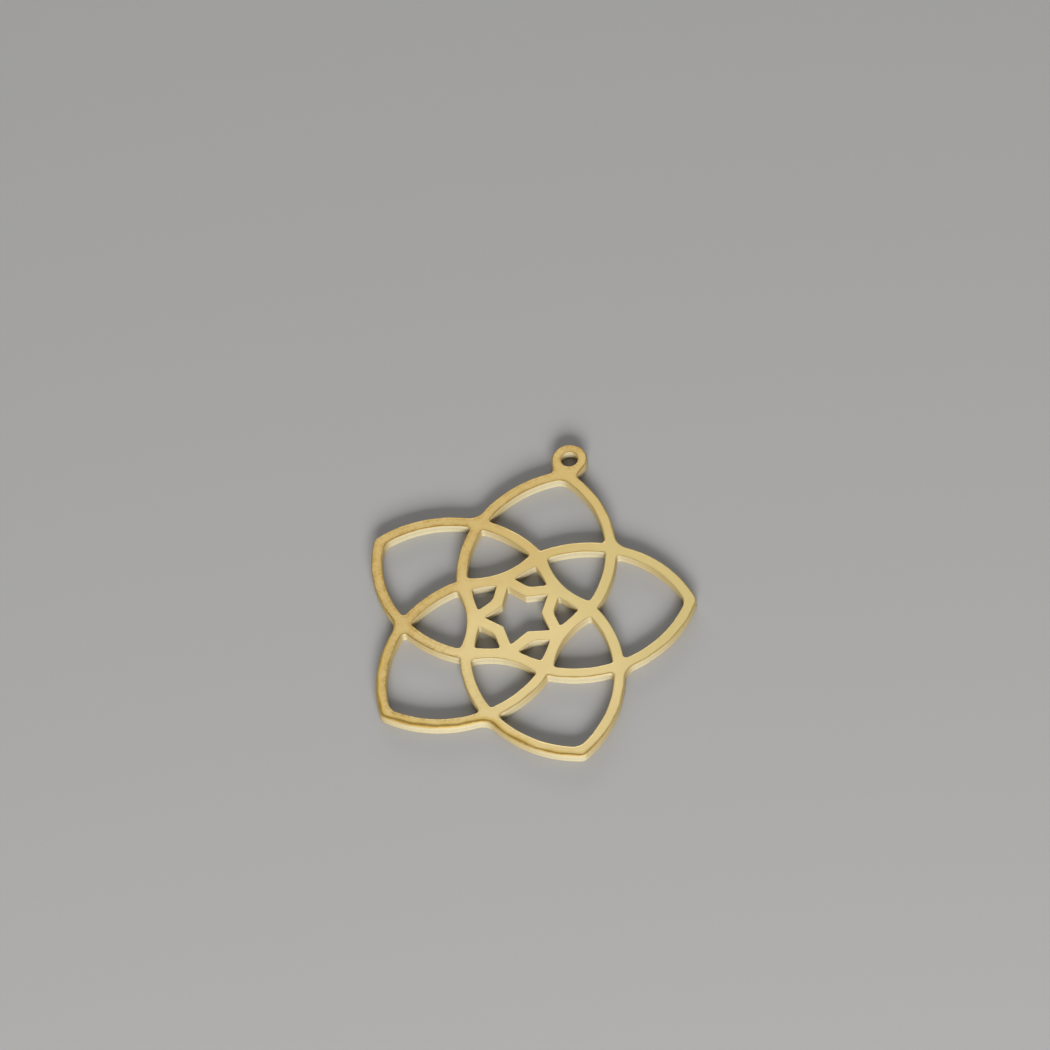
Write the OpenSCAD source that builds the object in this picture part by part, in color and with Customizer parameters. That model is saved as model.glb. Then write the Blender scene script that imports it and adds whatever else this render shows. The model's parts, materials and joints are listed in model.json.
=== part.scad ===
// Flower pendant: one flat plate pierced into five overlapping petals round a small star.
// Every petal is drawn by two of five equal guide circles, spaced evenly round the centre.
// The plate lies on the XY plane, +Y runs from the flower to its hanging ring, and the
// origin is on the axis of the ring's hole, on the plate's underside.

/* [Plate] */
// Thickness of the sheet
plate_t = 1.0; // [0.6:0.1:2]
// Width of the bands between the openings
band_w = 1.0; // [0.9:0.05:1.2]

/* [Petals] */
// Centre of the flower to the tip of a petal, along the middle of its bands
petal_reach = 15; // [14.5:0.1:16]
// Centre of the flower to the centre of each guide circle
guide_offset = 6.66; // [6.4:0.02:7]
// Radius inside each petal tip
tip_fillet = 1.3; // [0.6:0.1:2]
// Radius outside each petal tip
tip_round = 0.9; // [0.3:0.1:1.5]
// Radius in the outer notch between two petals
notch_fillet = 1.5; // [0.3:0.1:2]
// Radius in the side corners of a petal opening
side_fillet = 0.3; // [0.2:0.05:0.9]
// Radius in the inner corner of a petal opening
heel_fillet = 0.15; // [0.1:0.05:0.6]

/* [Cells between the petals] */
// Centre of the flower to the nearest edge of a cell
cell_start = 4.72; // [4.4:0.02:5.2]
// Radius of the inner edge of a cell
cell_arc = 6.5; // [5:0.1:9]
// Radius in the outer corner of a cell
cell_tip_fillet = 0.25; // [0.1:0.05:0.6]
// Radius in the two inner corners of a cell
cell_side_fillet = 0.3; // [0.1:0.05:0.6]

/* [Star] */
// Centre of the flower to a point of the star
star_reach = 3.1; // [2.8:0.05:3.2]
// Centre of the flower to an inner corner of the star
star_waist = 1.85; // [1.5:0.05:2.1]
// Width of the band round the star
star_band = 1.0; // [0.8:0.05:1.2]
// Radius in the points of the star
star_fillet = 0.1; // [0.05:0.05:0.3]
// Radius on the inner corners of the star
waist_round = 0.3; // [0.1:0.05:0.6]

/* [Small windows round the star] */
// Radius of the two outer edges of a window, about the guide circles' centres
window_arc = 9.55; // [9.3:0.05:9.8]
// Radius in the outer corner of a window
window_tip_fillet = 0.2; // [0.1:0.05:0.3]
// Radius in the side corners of a window
window_side_fillet = 0.15; // [0.05:0.05:0.25]
// Radius in the middle of a window's inner edge
window_floor_fillet = 1.2; // [0.3:0.1:2]

/* [Hanging ring] */
// Tip of the petal to the centre of the ring
ring_rise = 1.7; // [1.5:0.1:2.2]
// Outer diameter of the ring
ring_d = 3.2; // [2.8:0.1:3.6]
// Diameter of the hole
ring_hole_d = 1.5; // [1:0.1:1.8]
// Width of the neck where it meets the petal
neck_w = 2.2; // [2:0.1:2.8]
// Radius in the two corners beside the neck
neck_fillet = 0.4; // [0.2:0.05:0.6]

/* [Hidden] */
$fn = 96;
petals = 5;
step = 360 / petals;
half_step = step / 2;
brass = [0.82, 0.72, 0.47];
// Rounding arcs are this much larger, so that they cross the edges they blend into cleanly
lap = 0.001;
// How far a corner's trimming shape reaches past the corner, as a share of its depth
overshoot = 1.4;

// Radius of the guide circles: the middle of the bands
guide_r = norm(polar(0, petal_reach) - polar(half_step, guide_offset));
// Radii of the two edges of the bands
inner_r = guide_r - band_w / 2;
outer_r = guide_r + band_w / 2;
cell_centre = cell_start + cell_arc;
ring_reach = petal_reach + ring_rise;

// A point at an angle from +Y and a distance from the centre of the flower
function polar(angle, reach) = reach * [sin(angle), cos(angle)];
function unit(v) = v / norm(v);
function left_of(v) = [-v[1], v[0]];

// A round edge: the centre of its circle, its radius, and 1 where the shape lies outside the
// circle or -1 where it lies inside
function guide_edge(angle, radius, outside) = [polar(angle, guide_offset), radius, outside];

// Where two circles cross, left (1) or right (-1) of the way from the first to the second
function crossing(c1, r1, c2, r2, side) =
    let (
        gap = norm(c2 - c1),
        along = (gap * gap + r1 * r1 - r2 * r2) / (2 * gap),
        across = sqrt(r1 * r1 - along * along),
        way = unit(c2 - c1)
    )
    c1 + along * way + side * across * left_of(way);

// Where the line through a point, in a unit direction, enters (-1) or leaves (1) a circle
function line_crossing(point, way, centre, radius, end) =
    let (
        near = (centre - point) * way,
        off = norm(centre - point - near * way)
    )
    point + (near + end * sqrt(radius * radius - off * off)) * way;

// Direction along an edge of the star, from an inner corner to a point, and its outward side
star_way = unit(polar(half_step, star_reach) - polar(0, star_waist));
star_out = left_of(star_way);

// An inner corner and a point of the star with all its edges moved outward
function waist_at(grow) = polar(0, star_waist + grow / star_out[1]);
function point_at(grow) = polar(half_step, star_reach + grow / (star_out * polar(half_step, 1)));

// The shape between a corner and the arc that rounds it. Its arc has its centre at middle,
// and touches the corner's two edges in the directions to_a and to_b.
module corner_trim(corner, middle, radius, to_a, to_b) {
    depth = norm(corner - middle);
    difference() {
        polygon([
            middle,
            middle + depth * to_a,
            middle + overshoot * (corner - middle),
            middle + depth * to_b
        ]);
        translate(middle) circle(r = radius + lap);
    }
}

// The same between two circular edges
module arc_corner(a, b, radius, side) {
    middle = crossing(a[0], a[1] + a[2] * radius, b[0], b[1] + b[2] * radius, side);
    corner_trim(
        crossing(a[0], a[1], b[0], b[1], side),
        middle,
        radius,
        -a[2] * unit(middle - a[0]),
        -b[2] * unit(middle - b[0])
    );
}

module disc(edge) {
    translate(edge[0]) circle(r = edge[1]);
}

// A shape and its mirror image about the Y axis
module both_sides() {
    children();
    mirror([1, 0]) children();
}

module round_the_flower(start = 0) {
    for (i = [0 : petals - 1]) rotate(start + i * step) children();
}

// Outline

// One whole petal, out to its outer edges
module petal_outline(pointed) {
    right = guide_edge(-half_step, outer_r, -1);
    left = guide_edge(half_step, outer_r, -1);
    difference() {
        intersection() {
            disc(right);
            disc(left);
        }
        if (!pointed) arc_corner(right, left, tip_round, 1);
    }
}

// Metal that rounds the notch between two petals, on the Y axis
module notch_web() {
    arc_corner(guide_edge(-step, outer_r, 1), guide_edge(step, outer_r, 1), notch_fillet, 1);
}

// Ring and neck, without the hole
module hanger() {
    ring_centre = [0, ring_reach];
    base = [neck_w / 2, petal_reach];
    // The neck's sides run straight from the petal to where they touch the ring
    reach = norm(base - ring_centre);
    touch_r = ring_d / 2 - lap;
    lean = atan2(base[0], ring_reach - base[1]) + acos(touch_r / reach);
    touch = ring_centre + touch_r * [sin(lean), -cos(lean)];
    translate(ring_centre) circle(d = ring_d);
    polygon([
        [0, petal_reach - band_w],
        base,
        touch,
        [-touch[0], touch[1]],
        [-base[0], base[1]]
    ]);
    both_sides() neck_web(touch, unit(base - touch));
}

// Metal that rounds the corner between the neck's side and the petal
module neck_web(top, side_way) {
    side_out = left_of(side_way);
    petal_centre = polar(-half_step, guide_offset);
    middle = line_crossing(
        top + neck_fillet * side_out, side_way,
        petal_centre, outer_r + neck_fillet, -1
    );
    corner = line_crossing(top, side_way, petal_centre, outer_r, -1);
    corner_trim(corner, middle, neck_fillet, -side_out, -unit(middle - petal_centre));
}

module outline() {
    round_the_flower() petal_outline(false);
    petal_outline(true);
    round_the_flower(half_step) notch_web();
    hanger();
}

// Openings

// Inside of a petal, outward of the two petals that cross it
module petal_opening() {
    right = guide_edge(-half_step, inner_r, -1);
    left = guide_edge(half_step, inner_r, -1);
    cross_right = guide_edge(step + half_step, outer_r, 1);
    cross_left = guide_edge(-step - half_step, outer_r, 1);
    difference() {
        intersection() {
            disc(right);
            disc(left);
        }
        disc(cross_right);
        disc(cross_left);
        arc_corner(right, left, tip_fillet, 1);
        arc_corner(cross_left, cross_right, heel_fillet, 1);
        both_sides() arc_corner(right, cross_right, side_fillet, 1);
    }
}

// Three-sided cell between two petals, on the Y axis
module cell_opening() {
    right = guide_edge(-step, inner_r, -1);
    left = guide_edge(step, inner_r, -1);
    floor_edge = [[0, cell_centre], cell_arc, -1];
    difference() {
        intersection() {
            disc(right);
            disc(left);
            disc(floor_edge);
        }
        arc_corner(right, left, cell_tip_fillet, 1);
        both_sides() arc_corner(right, floor_edge, cell_side_fillet, -1);
    }
}

// The star with sharp corners, counter-clockwise
module sharp_star() {
    polygon([
        for (i = [petals : -1 : 1])
            each [polar(i * step, star_waist), polar(i * step - half_step, star_reach)]
    ]);
}

module star_opening() {
    // Outward directions of the two edges that meet at a point of the star
    point_side = left_of(polar(half_step, 1));
    far_out = star_out - 2 * (star_out * point_side) * point_side;
    difference() {
        union() {
            sharp_star();
            round_the_flower()
                corner_trim(
                    waist_at(0), waist_at(waist_round), waist_round,
                    -star_out, [star_out[0], -star_out[1]]
                );
        }
        round_the_flower()
            corner_trim(point_at(0), point_at(-star_fillet), star_fillet, star_out, far_out);
    }
}

// Window between the star's band and the place where two bands cross, on the Y axis
module window_opening() {
    right = guide_edge(-step - half_step, window_arc, -1);
    left = guide_edge(step + half_step, window_arc, -1);
    side_middle = line_crossing(
        waist_at(star_band + window_side_fillet), star_way,
        right[0], window_arc - window_side_fillet, 1
    );
    floor_middle = waist_at(star_band);
    side_corner = line_crossing(floor_middle, star_way, right[0], window_arc, 1);
    far = petal_reach;
    difference() {
        intersection() {
            disc(right);
            disc(left);
            polygon([
                floor_middle,
                floor_middle + far * star_way,
                [0, 2 * far],
                floor_middle + far * [-star_way[0], star_way[1]]
            ]);
        }
        arc_corner(right, left, window_tip_fillet, 1);
        corner_trim(
            floor_middle, waist_at(star_band + window_floor_fillet), window_floor_fillet,
            -star_out, [star_out[0], -star_out[1]]
        );
        both_sides()
            corner_trim(
                side_corner, side_middle, window_side_fillet,
                unit(side_middle - right[0]), -star_out
            );
    }
}

module flower_plate() {
    color(brass)
        translate([0, -ring_reach, 0])
            linear_extrude(plate_t)
                difference() {
                    outline();
                    round_the_flower() petal_opening();
                    round_the_flower(half_step) cell_opening();
                    round_the_flower() window_opening();
                    star_opening();
                    translate([0, ring_reach]) circle(d = ring_hole_d);
                }
}

flower_plate();
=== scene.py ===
import json
import math

import bpy
import numpy as np
from mathutils import Matrix, Vector
from mathutils.geometry import delaunay_2d_cdt
from mathutils.kdtree import KDTree


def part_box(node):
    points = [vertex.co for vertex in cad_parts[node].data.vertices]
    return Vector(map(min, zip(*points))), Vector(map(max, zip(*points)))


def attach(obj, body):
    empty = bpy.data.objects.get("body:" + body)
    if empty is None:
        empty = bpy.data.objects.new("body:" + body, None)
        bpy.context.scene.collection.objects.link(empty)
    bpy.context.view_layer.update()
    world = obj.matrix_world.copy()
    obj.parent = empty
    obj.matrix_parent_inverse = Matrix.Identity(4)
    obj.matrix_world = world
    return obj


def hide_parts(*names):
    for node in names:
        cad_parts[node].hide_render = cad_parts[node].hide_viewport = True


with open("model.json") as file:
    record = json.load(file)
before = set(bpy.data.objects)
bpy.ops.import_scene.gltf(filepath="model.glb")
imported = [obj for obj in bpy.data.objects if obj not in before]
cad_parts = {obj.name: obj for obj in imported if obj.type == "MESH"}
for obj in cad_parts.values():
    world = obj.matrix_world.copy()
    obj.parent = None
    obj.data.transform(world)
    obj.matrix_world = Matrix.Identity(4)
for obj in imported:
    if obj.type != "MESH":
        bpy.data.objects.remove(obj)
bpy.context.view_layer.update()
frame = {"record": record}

MM = 0.001
NODE = "flower_plate"

# Sizes of the cut plate, in millimetres and degrees
plate_low, plate_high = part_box(NODE)
plate_t = (plate_high[2] - plate_low[2]) / MM
ring_hole_r = frame["record"]["mounts"][0]["dims"]["r_mm"]
petals = 5
step = 360 / petals
half_step = step / 2
band_w = 1.0
petal_reach = 15.0
guide_offset = 6.66
tip_fillet = 1.3
tip_round = 0.9
notch_fillet = 1.5
side_fillet = 0.3
heel_fillet = 0.15
cell_start = 4.72
cell_arc = 6.5
cell_tip_fillet = 0.25
cell_side_fillet = 0.3
star_reach = 3.1
star_waist = 1.85
star_band = 1.0
star_fillet = 0.1
waist_round = 0.3
window_arc = 9.55
window_tip_fillet = 0.2
window_side_fillet = 0.15
window_floor_fillet = 1.2
ring_rise = 1.7
ring_r = 1.6
neck_w = 2.2
neck_fillet = 0.4
ring_reach = petal_reach + ring_rise

# How finely the edges and the faces are divided, in millimetres and degrees
edge_grain = 0.17
edge_turn = 12.0
face_grain = 0.24
# Points inside the faces keep this share of face_grain from the roundings
face_gap = 0.4
# Steps to the centre of a corner's arc, and a length or an angle too small to count
corner_search = 40
tiny = 1e-9
# Points of a face closer than this would be merged
weld = 1e-7
# Blender's number for a triangulation that fills the inside of its lines
fill_inside = 1

# Edges, worn round. How far the outer edge's rounding reaches into the face, at angles
# clockwise from the hanging ring
outer_rims = [
    (0, 0.20), (30, 0.22), (50, 0.16), (72, 0.18), (100, 0.17), (130, 0.20), (150, 0.34),
    (180, 0.38), (200, 0.50), (218, 0.42), (235, 0.32), (252, 0.25), (275, 0.13), (300, 0.18),
    (335, 0.15),
]
# The same for the openings, the petals' from the ringed one clockwise
petal_rims = [0.15, 0.10, 0.17, 0.15, 0.16]
cell_rim = 0.11
window_rim = 0.08
star_rim = 0.09
hole_rim = 0.12
# The same on the underside, for the openings and for the outer edge
under_rim = 0.1
outer_under_rim = 0.2
# The side the front key lights, an angle like those above, whose walls are painted paler as
# lit, and the share by which the openings' roundings are wider there
key_side = 157.0
rim_lean = 0.2
# Share by which the wear wanders along the edges, and the two waves whose product it follows:
# the angle each runs at and its length
rim_wander = 0.18
swell_side, swell_length = 25, 2.6
cross_side, cross_length = 110, 3.26725636
# How far a rounding reaches down the wall, as a share of its reach into the face
rim_drop = 0.7
rim_steps = 7
# Flat strip that keeps each rounding's shading off the faces
rim_flat = 0.015
# The outer wall lies this far inside the solid's, whose round edges are faceted
wall_inside = 0.004
# Lines that the cutting left along the walls: height above the underside and depth
cut_lines = [(0.28, 0.014), (0.45, 0.018)]
cut_line_half = 0.03
# Steps where a cut began and ended: place along the outer wall from the flower's centre,
# how far the wall stands in before it and after it, going counter-clockwise, and how far
# the step runs out
cut_steps = [
    ((12.05, -1.70), 0.0, 0.035, 2.5),
    ((-9.55, 8.55), 0.0, 0.03, 2.0),
    ((11.95, 7.50), 0.025, 0.0, 2.0),
]
step_grain = 0.03


def polar(angle, reach):
    """Point at an angle from +Y, clockwise, and a distance from the flower's centre."""
    a = math.radians(angle)
    return reach * np.array([math.sin(a), math.cos(a)])


def unit(v):
    return v / np.linalg.norm(v)


def left_of(v):
    return np.array([-v[1], v[0]])


guide_r = np.linalg.norm(polar(0, petal_reach) - polar(half_step, guide_offset))
inner_r = guide_r - band_w / 2
outer_r = guide_r + band_w / 2


class Arc:
    """A round edge travelled with its region on the left, inside or outside the circle."""

    def __init__(self, centre, radius, inside=True):
        self.centre = np.array(centre, float)
        self.radius = radius
        self.turn = 1 if inside else -1

    def depth(self, point):
        """Distance of a point into the region, and the direction in which it grows."""
        out = point - self.centre
        far = np.linalg.norm(out)
        return self.turn * (self.radius - far), -self.turn * out / far

    def walk(self, start, end):
        """Points from start up to end, with the direction into the region at each. All the
        way round if the two are the same."""
        a = math.atan2(*(start - self.centre)[::-1])
        b = math.atan2(*(end - self.centre)[::-1])
        sweep = (self.turn * (b - a)) % (2 * math.pi)
        if sweep < tiny:
            sweep = 2 * math.pi
        count = max(
            2,
            math.ceil(sweep * self.radius / edge_grain),
            math.ceil(math.degrees(sweep) / edge_turn),
        )
        angles = a + self.turn * sweep * np.arange(count) / count
        out = np.stack([np.cos(angles), np.sin(angles)], -1)
        return self.centre + self.radius * out, -self.turn * out


class Line:
    """A straight edge travelled along way, with its region on the left."""

    def __init__(self, point, way):
        self.point = np.array(point, float)
        self.way = unit(np.array(way, float))

    def depth(self, point):
        left = left_of(self.way)
        return (point - self.point) @ left, left

    def walk(self, start, end):
        count = max(1, math.ceil(np.linalg.norm(end - start) / edge_grain))
        part = np.arange(count)[:, None] / count
        return start + part * (end - start), np.tile(left_of(self.way), (count, 1))


def corner_centre(a, b, radius, near):
    """Centre of the arc that rounds the corner of two edges: inside their region, or beyond
    its edges where radius is negative. Found by Newton's steps from a point near it."""
    point = np.array(near, float)
    for _ in range(corner_search):
        da, na = a.depth(point)
        db, nb = b.depth(point)
        point = point + np.linalg.solve([na, nb], [radius - da, radius - db])
    assert all(abs(edge.depth(point)[0] - radius) < tiny for edge in (a, b))
    return point


def trace(edges, corners, near):
    """A closed loop of edges. corners[i] joins edges[i] to the next: a radius, negative where
    the loop turns right, or the point where the two edges touch. near is a rough guess of the
    corners' centres, one for them all or a list."""
    ends, starts, fillets = [], [], []
    for i, corner in enumerate(corners):
        a, b = edges[i], edges[(i + 1) % len(edges)]
        if isinstance(corner, float):
            middle = corner_centre(a, b, corner, near[i] if isinstance(near, list) else near)
            depth_a, way_a = a.depth(middle)
            depth_b, way_b = b.depth(middle)
            ends.append(middle - depth_a * way_a)
            starts.append(middle - depth_b * way_b)
            fillets.append(Arc(middle, abs(corner), corner > 0))
        else:
            ends.append(corner)
            starts.append(corner)
            fillets.append(None)
    points, ways = [], []
    for i, edge in enumerate(edges):
        for run, a, b in ((edge, starts[i - 1], ends[i]), (fillets[i], ends[i], starts[i])):
            if run is not None:
                p, w = run.walk(a, b)
                points.append(p)
                ways.append(w)
    return np.concatenate(points), np.concatenate(ways)


def turned(loop, angle):
    """A loop turned clockwise round the flower's centre."""
    a = math.radians(-angle)
    turn = np.array([[math.cos(a), math.sin(a)], [-math.sin(a), math.cos(a)]])
    return loop[0] @ turn, loop[1] @ turn


def petal_opening():
    cross_right = Arc(polar(step + half_step, guide_offset), outer_r, False)
    right = Arc(polar(-half_step, guide_offset), inner_r)
    left = Arc(polar(half_step, guide_offset), inner_r)
    cross_left = Arc(polar(-step - half_step, guide_offset), outer_r, False)
    return trace(
        [cross_right, right, left, cross_left],
        [side_fillet, tip_fillet, side_fillet, heel_fillet],
        polar(0, petal_reach * 0.7),
    )


def cell_opening():
    floor_edge = Arc([0, cell_start + cell_arc], cell_arc)
    right = Arc(polar(-step, guide_offset), inner_r)
    left = Arc(polar(step, guide_offset), inner_r)
    return trace(
        [floor_edge, right, left],
        [cell_side_fillet, cell_tip_fillet, cell_side_fillet],
        polar(0, petal_reach / 2),
    )


def star_line(waist_angle, point_angle):
    """An inner corner of the star, and the unit direction from it to a point of the star."""
    waist, point = polar(waist_angle, star_waist), polar(point_angle, star_reach)
    return waist, unit(point - waist)


def window_opening():
    waist, way = star_line(0, half_step)
    floor = waist + [0, star_band / left_of(way)[1]]
    right = Arc(polar(-step - half_step, guide_offset), window_arc)
    left = Arc(polar(step + half_step, guide_offset), window_arc)
    return trace(
        [Line(floor, [way[0], -way[1]]), Line(floor, way), right, left],
        [window_floor_fillet, window_side_fillet, window_tip_fillet, window_side_fillet],
        floor + [0, star_band],
    )


def star_opening():
    edges, corners, near = [], [], []
    for i in range(petals):
        waist, way = star_line(-i * step, -i * step - half_step)
        edges.append(Line(waist, way))
        corners.append(star_fillet)
        near.append(polar(-i * step - half_step, star_reach))
        waist, way = star_line(-(i + 1) * step, -i * step - half_step)
        edges.append(Line(waist, -way))
        corners.append(-waist_round)
        near.append(waist)
    return trace(edges, corners, near)


def ring_hole():
    start = np.array([ring_hole_r, ring_reach])
    return Arc([0, ring_reach], ring_hole_r).walk(start, start)


def outline():
    """The plate's outer edge, from the ringed petal's right side round to its left."""
    centre = np.array([0, ring_reach])
    base = np.array([neck_w / 2, petal_reach])
    lean = math.atan2(base[0], ring_reach - base[1])
    lean += math.acos(ring_r / np.linalg.norm(base - centre))
    touch = centre + ring_r * np.array([math.sin(lean), -math.cos(lean)])
    mirrored = np.array([-1, 1])
    edges = [
        Arc(polar(-half_step, guide_offset), outer_r),
        Line(base, touch - base),
        Arc(centre, ring_r),
        Line(base * mirrored, (base - touch) * mirrored),
        Arc(polar(half_step, guide_offset), outer_r),
    ]
    corners = [-neck_fillet, touch, touch * mirrored, -neck_fillet]
    near = [base, touch, touch, base * mirrored]
    for i in range(1, petals + 1):
        corners.append(-notch_fillet)
        near.append(polar(-(i - 0.5) * step, petal_reach * 0.75))
        if i < petals:
            edges.append(Arc(polar(-i * step - half_step, guide_offset), outer_r))
            corners.append(tip_round)
            near.append(polar(-i * step, petal_reach))
            edges.append(Arc(polar(-i * step + half_step, guide_offset), outer_r))
    return trace(edges, corners, near)


def openings():
    """The 17 loops inside the outline, each with the reach of its rounding."""
    loops = []
    for i in range(petals):
        loops.append((turned(petal_opening(), i * step), petal_rims[i]))
        loops.append((turned(cell_opening(), i * step + half_step), cell_rim))
        loops.append((turned(window_opening(), i * step), window_rim))
    loops.append((star_opening(), star_rim))
    loops.append((ring_hole(), hole_rim))
    return loops


def outer_rim(points):
    """Reach of the outer edge's rounding at each of its points."""
    angles = np.degrees(np.arctan2(points[:, 0], points[:, 1]))
    return np.interp(angles, *zip(*outer_rims), period=360)


def wandering(rim, points):
    """The reach of a rounding, a little uneven along the edge."""
    swell = np.sin(points @ polar(swell_side, 2 * math.pi / swell_length))
    cross = np.sin(points @ polar(cross_side, 2 * math.pi / cross_length))
    return rim * (1 + rim_wander * swell * cross)


def wall_rows(rim, under):
    """Section of an edge from the underside up, for the reach of its rounding at each point
    and on the underside: how far in each row lies, its height, and how far it has turned from
    face (0) to wall (1)."""
    quarter = np.linspace(0, math.pi / 2, rim_steps + 1)
    still = 0 * rim
    rows = [(still + under + rim_flat, still, 0)]
    for a in quarter:
        inset, height = under * (1 - math.sin(a)), under * (1 - math.cos(a))
        rows.append((still + inset, still + height, a / quarter[-1]))
    for height, depth in cut_lines:
        for side, inset in ((-2, 0), (-1, depth), (1, depth), (2, 0)):
            rows.append((still + inset, still + height + side * cut_line_half, 1))
    for a in quarter:
        height = plate_t - rim_drop * rim * (1 - math.sin(a))
        tilt = math.atan2(rim_drop * math.cos(a), math.sin(a))
        rows.append((rim * (1 - math.cos(a)), height, tilt / quarter[-1]))
    return rows + [(rim + rim_flat, still + plate_t, 0)]


def with_cut_steps(points, ways):
    """Outline with its cut steps: more points near each, and how far in each point lies."""
    inset = np.full(len(points), wall_inside)
    for place, before, after, run_out in cut_steps:
        k = np.linalg.norm(points - place, axis=1).argmin()
        near = [(k + j) % len(points) for j in (-1, 0, 1)]
        part = np.arange(0, 1, step_grain / edge_grain)[:, None]
        fine = []
        for values in (points, ways, inset[:, None]):
            a, b, c = values[near]
            fine.append(np.concatenate([a + part * (b - a), b + part * (c - b)]))
        order = [(k + 1 + j) % len(points) for j in range(len(points) - 2)]
        points = np.concatenate([points[order], fine[0]])
        ways = np.concatenate([ways[order], fine[1]])
        inset = np.concatenate([inset[order], fine[2][:, 0]])
        stride = np.linalg.norm(np.roll(points, -1, axis=0) - points, axis=1)
        along = np.concatenate([[0], np.cumsum(stride)[:-1]])
        k = np.linalg.norm(points - place, axis=1).argmin()
        along = (along - along[k] + stride.sum() / 2) % stride.sum() - stride.sum() / 2
        fade = np.clip(1 - np.abs(along) / run_out, 0, 1) ** 2
        inset += fade * np.where(along > 0, after, before)
    return points, ways, inset


class Flats:
    """Where the flat of the faces begins, inward of the roundings."""

    def __init__(self):
        self.points, self.ways, self.depths, self.reaches = [], [], [], []

    def add(self, points, inward, depths, reaches):
        self.points += list(points)
        self.ways += list(inward)
        self.depths += list(depths)
        self.reaches += list(reaches)

    def grid(self):
        """Points on the flat, on a triangular grid, each with the gap to the nearest edge and
        the reach of that edge's rounding."""
        tree = KDTree(len(self.points))
        for k, (x, y) in enumerate(self.points):
            tree.insert((x, y, 0), k)
        tree.balance()
        # The grid starts and ends a little past the plate
        columns = np.arange(-petal_reach - 1, petal_reach + 1, face_grain)
        rows = np.arange(-petal_reach - 1, ring_reach + 2, face_grain * math.sqrt(3) / 2)
        inner = []
        for j, y in enumerate(rows):
            for x in columns + (j % 2) * face_grain / 2:
                k = tree.find((x, y, 0))[1]
                past = (np.array((x, y)) - self.points[k]) @ self.ways[k]
                if past > face_grain * face_gap:
                    inner.append((x, y, past + self.depths[k], self.reaches[k]))
        return inner


def face_triangles(loops, ids, coords, up):
    """Triangles of one face between its loops, outline first. ids and coords are those of the
    loops' points in order, then of the points inside."""
    lines, loop_of = [], []
    for number, loop in enumerate(loops):
        at, n = len(lines), len(loop)
        lines += [(at + k, at + (k + 1) % n) for k in range(n)]
        loop_of += [number] * n
    loop_of += [None] * (len(ids) - len(lines))
    _, _, tris, sources, _, _ = delaunay_2d_cdt(coords, lines, [], fill_inside, weld)
    faces = []
    for tri in tris:
        order = sorted(sources[v][0] for v in tri)
        a, b, c = (coords[k] for k in order)
        ccw = (b - a).cross(c - a) > 0
        # A triangle on one loop alone lies to the left of it if it runs the way it does
        same = loop_of[order[0]] == loop_of[order[1]] == loop_of[order[2]]
        if loop_of[order[2]] is None or not same or ccw == (order[0] < len(loops[0])):
            a, b, c = (ids[k] for k in order)
            faces.append((a, b, c) if ccw == up else (a, c, b))
    return faces


def add_object(name, data):
    thing = bpy.data.objects.new(name, data)
    bpy.context.collection.objects.link(thing)
    return thing


def build_plate():
    verts, faces = [], []
    # For the material: gap to the nearest edge, turn from face (0) to wall (1), reach of the
    # edge's rounding, and how squarely the wall faces the key light, which sets the painted
    # light
    gaps, turns, reaches, facings = [], [], [], []
    top_loops, bottom_loops = [], []
    flats = Flats()
    for (points, ways), rim in [(outline(), None)] + openings():
        # Into the metal: left of the outline, right of an opening
        is_outline = rim is None
        if is_outline:
            points, inward, inset = with_cut_steps(points, ways)
            rim, under = outer_rim(points), outer_under_rim
        else:
            inward, inset = -ways, np.zeros(len(points))
            rim, under = rim * (1 + rim_lean * ways @ polar(key_side, 1)), under_rim
        facing = -inward @ polar(key_side, 1)
        if is_outline:
            # The far side of the outer edge gets no painted highlight, like its flanks
            facing = np.maximum(facing, 0)
        rim = wandering(rim, points)
        rows = wall_rows(rim, under)
        count, first = len(points), len(verts)
        for depth, height, turn in rows:
            level = points + (depth + inset)[:, None] * inward
            verts += [(x, y, z) for (x, y), z in zip(level, height)]
            gaps += list(depth)
            turns += [turn] * count
            reaches += list(rim)
            facings += list(facing)
        for row in range(len(rows) - 1):
            for k in range(count):
                a = first + row * count + k
                b = first + row * count + (k + 1) % count
                quad = (a, b, b + count, a + count)
                faces.append(quad if is_outline else quad[::-1])
        bottom_loops.append(list(range(first, first + count)))
        top_first = first + (len(rows) - 1) * count
        top_loops.append(list(range(top_first, top_first + count)))
        depth = np.maximum(rim, under) + rim_flat
        flats.add(points + (inset + depth)[:, None] * inward, inward, depth, rim)

    inner = flats.grid()
    for loops, height, up in ((top_loops, plate_t, True), (bottom_loops, 0.0, False)):
        border = [v for loop in loops for v in loop]
        coords = [Vector(verts[v][:2]) for v in border] + [Vector(p[:2]) for p in inner]
        ids = border + list(range(len(verts), len(verts) + len(inner)))
        verts += [(x, y, height) for x, y, _, _ in inner]
        gaps += [gap for _, _, gap, _ in inner]
        turns += [0] * len(inner)
        reaches += [reach for _, _, _, reach in inner]
        facings += [0] * len(inner)
        faces += face_triangles(loops, ids, coords, up)

    mesh = bpy.data.meshes.new("brass_flower")
    placed = [(x * MM, (y - ring_reach) * MM, z * MM) for x, y, z in verts]
    mesh.from_pydata(placed, [], faces)
    kept = {"edge_gap": gaps, "edge_turn": turns, "rim_reach": reaches, "facing": facings}
    for name, values in kept.items():
        layer = mesh.attributes.new(name, "FLOAT", "POINT")
        layer.data.foreach_set("value", values)
    mesh.shade_smooth()
    mesh.update()
    return add_object("brass_flower", mesh)


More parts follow.
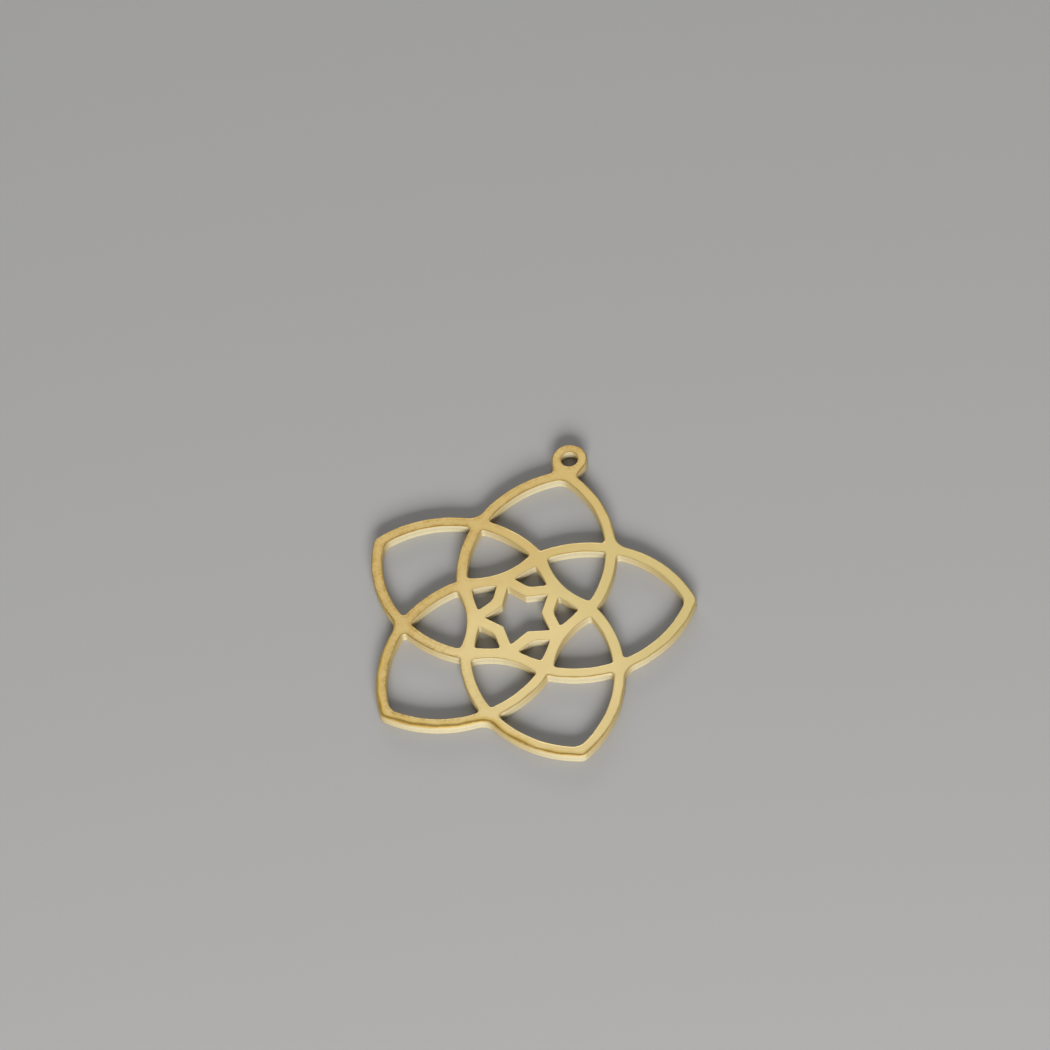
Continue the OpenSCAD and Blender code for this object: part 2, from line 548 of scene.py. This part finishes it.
class Nodes:
    """Short calls for building the node tree of a material or of the world."""

    def __init__(self, owner):
        owner.use_nodes = True
        self.tree = owner.node_tree

    def add(self, kind, inputs=(), **settings):
        """A new node with its settings, and its inputs by name or number."""
        node = self.tree.nodes.new(kind)
        for key, value in settings.items():
            setattr(node, key, value)
        for key, value in dict(inputs).items():
            self.set(node, key, value)
        return node

    def set(self, node, key, value):
        """Gives a node's input a value, or links it to another node's output."""
        socket = node.inputs[key]
        if isinstance(value, bpy.types.NodeSocket):
            self.tree.links.new(value, socket)
        else:
            socket.default_value = value

    def math(self, operation, a, b, clamp=False):
        node = self.add("ShaderNodeMath", {0: a, 1: b}, operation=operation, use_clamp=clamp)
        return node.outputs[0]

    def vector(self, operation, inputs):
        return self.add("ShaderNodeVectorMath", inputs, operation=operation).outputs

    def ramp(self, value, low, high, start=0.0, end=1.0):
        """A smooth change from start to end as value goes from low to high."""
        inputs = {
            "Value": value, "From Min": low, "From Max": high, "To Min": start, "To Max": end,
        }
        node = self.add("ShaderNodeMapRange", inputs, interpolation_type="SMOOTHSTEP")
        return node.outputs[0]

    def mix(self, factor, a, b):
        """Colour a where factor is 0, and b where it is 1."""
        node = self.add("ShaderNodeMix", {0: factor, 6: a, 7: b}, data_type="RGBA")
        return node.outputs[2]

    def noise(self, where, name):
        """The noise of that name, a value about 0.5."""
        scale, detail, roughness = noises[name]
        inputs = {"Vector": where, "Scale": scale, "Detail": detail, "Roughness": roughness}
        return self.add("ShaderNodeTexNoise", inputs).outputs["Fac"]


# Colours of the face, as painted shade across it: lit most, shaded, and shaded warmer as well
lit_face = (1.0, 0.79, 0.37, 1)
shaded_face = (0.85, 0.675, 0.285, 1)
warm_shaded_face = (0.83, 0.61, 0.24, 1)
# Stains along its edges, painted shade on the roundings, and painted amber shade beside the
# widest of them
stain = (0.60, 0.36, 0.085, 1)
rim_shade = (0.60, 0.365, 0.075, 1)
amber = (0.87, 0.60, 0.17, 1)
# Rubbed metal of the roundings, a painted highlight on them, and the cut walls, painted paler
# where lit, with their streaks
rubbed = (0.58, 0.455, 0.20, 1)
rim_highlight = (0.95, 0.82, 0.50, 1)
cut = (0.44, 0.34, 0.155, 1)
lit_cut = (0.485, 0.425, 0.265, 1)
chatter = (0.34, 0.25, 0.105, 1)
# Where the face is painted lightest, and where it is painted darker but least warm, from the
# flower's centre
most_lit_place = (2.0, -8.0)
least_warm_shade = (12.0, 2.0)
# Distance from the first over which the face is painted darker as shade, and from the second
# over which it is painted warmer and darker, stains come up along its edges, and the roundings
# lose their painted highlights
shade_away = (6.5, 15.0)
warm_shade_away = (8.0, 14.0)
stain_away = (14.5, 21.0)
highlight_away = (15.0, 20.0)
# Gap to the edge over which the stains thin out, and the amber painted shade, as a share of the
# reach of the edge's rounding
stain_gap = (0.12, 0.55)
amber_gap = (1.0, 1.9)
# Reach of a rounding from which it has amber painted shade beside it, and over which its
# painted rim shade deepens
amber_reach = (0.2, 0.34)
rim_shade_reach = (0.1, 0.4)
# How far an edge has turned, from face (0) to wall (1), where its painted rim shade comes on,
# then rubbed, then cut, and where it scatters light instead of mirroring it
rim_shade_turn = (0.08, 0.26)
rubbed_turn = (0.23, 0.48)
cut_turn = (0.34, 0.62)
matt_turn = (0.36, 0.66)
# How squarely a wall faces the key light, from -1 to 1, where its rounding's painted highlight
# stops, where its painted rim shade comes on, and where the cut is painted paler as lit
highlight_facing = (-0.7, -0.1)
rim_shade_facing = (-0.5, 0.2)
lit_facing = (0.7, 1.0)
# Noises: scale to a millimetre, detail and roughness
noises = {
    "shade_and_tone": (0.35, 3.0, 0.5),
    "specks": (4.5, 3.0, 0.65),
    "speck groups": (1.1, 2.0, 0.5),
    "patches": (1.6, 3.0, 0.6),
    "streaks": (9.0, 3.0, 0.6),
    "grain": (14.0, 3.0, 0.6),
}
# The middle of a noise's values, over which specks and patches come up
noise_middle = (0.35, 0.65)
# Roughness of the face, of the roundings with the painted highlight and of the other edges, and
# what the grain adds
face_rough, highlight_rough, edge_rough, grain_rough = 0.28, 0.42, 0.68, 0.08
# Height of the walls' streaks and of the grain, in millimetres, and how much the streaks are
# drawn out up the walls
streak_height, grain_height = 0.006, 0.0008
streak_stretch = 0.03


def brass_material():
    material = bpy.data.materials.new("brass")
    m = Nodes(material)
    shader = m.tree.nodes["Principled BSDF"]
    place = m.add("ShaderNodeTexCoord").outputs["Object"]
    mm = m.vector("SCALE", {0: place, "Scale": 1 / MM})[0]
    gap, turn, reach, facing = (
        m.add("ShaderNodeAttribute", attribute_name=name).outputs["Fac"]
        for name in ("edge_gap", "edge_turn", "rim_reach", "facing")
    )

    # The face is painted darker and warmer away from two places, as shade across it
    from_most_lit_place, from_least_warm_shade = (
        m.vector("DISTANCE", {0: mm, 1: (x, y - ring_reach, plate_t)})["Value"]
        for x, y in (most_lit_place, least_warm_shade)
    )
    warm_shade = m.ramp(from_least_warm_shade, *warm_shade_away)
    wander = m.ramp(m.noise(mm, "shade_and_tone"), 0.3, 0.7, -0.15, 0.15)
    shade_and_tone = m.math("ADD", m.ramp(from_most_lit_place, *shade_away), wander, True)
    colour = m.mix(shade_and_tone, lit_face, m.mix(warm_shade, shaded_face, warm_shaded_face))
    # Stains along its edges, broken up into specks
    specks = m.ramp(m.noise(mm, "specks"), *noise_middle, 0.3)
    groups = m.ramp(m.noise(mm, "speck groups"), *noise_middle, 0.4)
    specks = m.math("MULTIPLY", specks, groups)
    stained = m.math("MULTIPLY", m.ramp(gap, *stain_gap, 1.0, 0.25), specks)
    stained = m.math("MULTIPLY", stained, m.ramp(from_least_warm_shade, *stain_away))
    colour = m.mix(stained, colour, stain)
    # Painted shade: amber beside the widest roundings, then a darker rim where the edge starts
    # to turn, most where the rounding is widest, both in uneven patches
    patches = m.ramp(m.noise(mm, "patches"), *noise_middle, 0.4)
    beside = m.ramp(m.math("DIVIDE", gap, reach), *amber_gap, 1.0, 0.0)
    beside = m.math("MULTIPLY", beside, m.ramp(reach, *amber_reach))
    colour = m.mix(m.math("MULTIPLY", beside, m.ramp(patches, 0.4, 0.8, 0.6)), colour, amber)
    rim_width = m.ramp(reach, *rim_shade_reach, 0.2)
    dark = m.math("MULTIPLY", m.ramp(turn, *rim_shade_turn), m.math("MULTIPLY", patches, rim_width))
    colour = m.mix(m.math("MULTIPLY", dark, m.ramp(facing, *rim_shade_facing)), colour, rim_shade)
    # Then rubbed metal, with a painted highlight where it faces away from the key light on the
    # less shaded petals, and the cut wall with upright streaks, painted paler where it faces
    # the key light
    beyond_highlight = m.ramp(from_least_warm_shade, *highlight_away)
    no_highlight = m.math("MAXIMUM", m.ramp(facing, *highlight_facing), beyond_highlight)
    colour = m.mix(m.ramp(turn, *rubbed_turn), colour, m.mix(no_highlight, rim_highlight, rubbed))
    streak_place = m.vector("MULTIPLY", {0: mm, 1: (1.0, 1.0, streak_stretch)})[0]
    streaks = m.noise(streak_place, "streaks")
    wall = m.mix(m.ramp(facing, *lit_facing), cut, lit_cut)
    wall = m.mix(m.ramp(streaks, 0.4, 0.8, 0.0, 0.25), wall, chatter)
    colour = m.mix(m.ramp(turn, *cut_turn), colour, wall)
    m.set(shader, "Base Color", colour)
    # The rough cut scatters light as matt matter does
    m.set(shader, "Metallic", m.ramp(turn, *matt_turn, 1.0, 0.0))
    grain = m.noise(mm, "grain")
    edge = m.ramp(no_highlight, 0.0, 1.0, highlight_rough, edge_rough)
    rough = m.ramp(turn, 0.0, 0.4, face_rough, edge)
    grained = m.math("ADD", rough, m.math("MULTIPLY", grain, grain_rough))
    m.set(shader, "Roughness", grained)
    # The streaks and the fine grain of the faces in relief
    height = m.math("MULTIPLY", streaks, m.ramp(turn, 0.6, 1.0, 0.0, streak_height))
    height = m.math("ADD", height, m.math("MULTIPLY", grain, grain_height))
    bump = m.add("ShaderNodeBump", {"Strength": 1.0, "Distance": MM, "Height": height})
    m.set(shader, "Normal", bump.outputs[0])
    return material


plate = build_plate()
plate.data.materials.append(brass_material())
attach(plate, "root")
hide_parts(NODE)

# Floor: half its side in metres, and its look
floor_half = 1.0
floor_colour = (0.45, 0.445, 0.44, 1)
floor_rough = 0.9


def plain_floor():
    corners = [
        (x * floor_half, y * floor_half, 0) for x, y in ((-1, -1), (1, -1), (1, 1), (-1, 1))
    ]
    mesh = bpy.data.meshes.new("floor")
    mesh.from_pydata(corners, [], [(0, 1, 2, 3)])
    floor = add_object("floor", mesh)
    material = bpy.data.materials.new("pale_floor")
    m = Nodes(material)
    shader = m.tree.nodes["Principled BSDF"]
    m.set(shader, "Base Color", floor_colour)
    m.set(shader, "Roughness", floor_rough)
    floor.data.materials.append(material)


plain_floor()

# Camera, from the photograph's view of the flower, in millimetres, metres and degrees
lens_mm = 145.2
sensor_mm = 36
nearest_seen, farthest_seen = 0.01, 10
camera_distance = 0.3755
camera_azimuth = 22.57
camera_elevation = 56.81
camera_roll = 8.70
camera_target = Vector((-0.00205, -0.00759, 0.001))


def direction(azimuth, elevation):
    """Unit vector from the target; azimuth 0 is towards -Y."""
    a, e = math.radians(azimuth), math.radians(elevation)
    return Vector((math.sin(a) * math.cos(e), -math.cos(a) * math.cos(e), math.sin(e)))


def add_camera():
    data = bpy.data.cameras.new("camera")
    data.lens = lens_mm
    data.sensor_width = sensor_mm
    data.clip_start, data.clip_end = nearest_seen, farthest_seen
    camera = add_object("camera", data)
    back = direction(camera_azimuth, camera_elevation)
    turn = (-back).to_track_quat("-Z", "Y").to_matrix()
    turn = turn @ Matrix.Rotation(-math.radians(camera_roll), 3, "Z")
    place = Matrix.Translation(camera_target + back * camera_distance)
    camera.matrix_world = place @ turn.to_4x4()
    bpy.context.scene.camera = camera


add_camera()

# Softboxes: name, azimuth from the camera's, elevation, distance, width, height and power
softboxes = [
    # Two behind the flower, the first of them mirrored in its face
    ("back_softbox", 180, 54, 0.9, 0.6, 0.5, 0.70),
    ("back_edge_light", 180, 18, 0.9, 0.8, 0.28, 2.3),
    # The key in front, which its walls face
    ("front_key", -2, 22, 0.65, 0.36, 0.2, 6.0),
]
# A bright horizon and a dim ceiling, which shows as the dark line along the rims: their
# strengths, and the heights on a unit sphere between which one turns into the other
horizon_glow, ceiling_glow = 0.26, 0.15
horizon_top, ceiling_bottom = 0.3, 0.9


def add_light():
    world = bpy.data.worlds.new("studio")
    w = Nodes(world)
    sky = w.add("ShaderNodeTexCoord").outputs["Generated"]
    up = w.add("ShaderNodeSeparateXYZ", {0: sky}).outputs[2]
    background = w.tree.nodes["Background"]
    glow = w.ramp(up, horizon_top, ceiling_bottom, horizon_glow, ceiling_glow)
    w.set(background, "Strength", glow)
    w.set(background, "Color", (1.0, 1.0, 1.0, 1))
    bpy.context.scene.world = world
    for name, azimuth, elevation, distance, width, height, power in softboxes:
        data = bpy.data.lights.new(name, "AREA")
        data.shape = "RECTANGLE"
        data.size, data.size_y = width, height
        data.energy = power
        lamp = add_object(name, data)
        back = direction(camera_azimuth + azimuth, elevation)
        lamp.location = camera_target + back * distance
        lamp.rotation_mode = "QUATERNION"
        lamp.rotation_quaternion = back.to_track_quat("Z", "Y")


add_light()
bpy.context.scene.view_settings.view_transform = "Standard"
